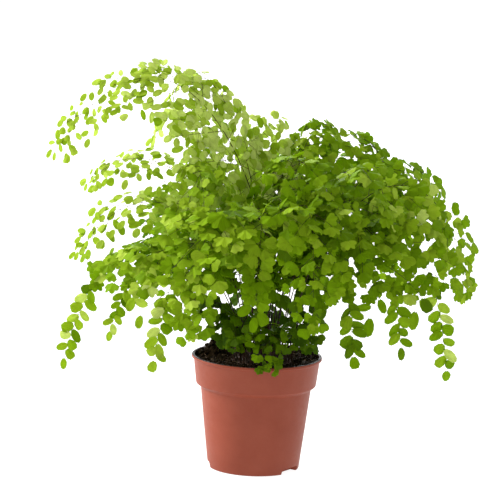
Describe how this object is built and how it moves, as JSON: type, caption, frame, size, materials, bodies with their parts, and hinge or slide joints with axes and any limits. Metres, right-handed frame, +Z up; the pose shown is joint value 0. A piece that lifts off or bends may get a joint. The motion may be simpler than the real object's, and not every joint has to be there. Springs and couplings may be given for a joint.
{
  "type": "potted fern",
  "caption": "Maidenhair fern with arching fronds of fan-shaped leaflets on dark wiry stalks, growing from peat in a moulded terracotta-coloured plastic pot.",
  "frame": {"origin": "centre of the flat underside of the pot, on the surface it stands on", "axes": "+Z up along the pot's axis, -Y towards the plant's best side, +X to the right as seen from there"},
  "size_m": [0.3953, 0.3329, 0.3614],
  "materials": {
    "pot": "moulded terracotta-coloured polypropylene, soft sheen",
    "soil": "damp crumbly peat",
    "rhizome": "dark scaly rhizome and roots",
    "frond": "thin soft leaflets on wiry stalks"
  },
  "bodies": {
    "root": {"pot": "pot", "soil": "soil", "rhizome": "rhizome", "frond_01": "frond", "frond_02": "frond", "frond_03": "frond", "frond_04": "frond", "frond_05": "frond", "frond_06": "frond", "frond_07": "frond", "frond_08": "frond", "frond_09": "frond", "frond_10": "frond", "frond_11": "frond", "frond_12": "frond", "frond_13": "frond", "frond_14": "frond", "frond_15": "frond", "frond_16": "frond", "frond_17": "frond", "frond_18": "frond", "frond_19": "frond", "frond_20": "frond", "frond_21": "frond", "frond_22": "frond", "frond_23": "frond", "frond_24": "frond", "frond_25": "frond", "frond_26": "frond", "frond_27": "frond", "frond_28": "frond", "frond_29": "frond", "frond_30": "frond", "frond_31": "frond", "frond_32": "frond"}
  },
  "joints": []
}
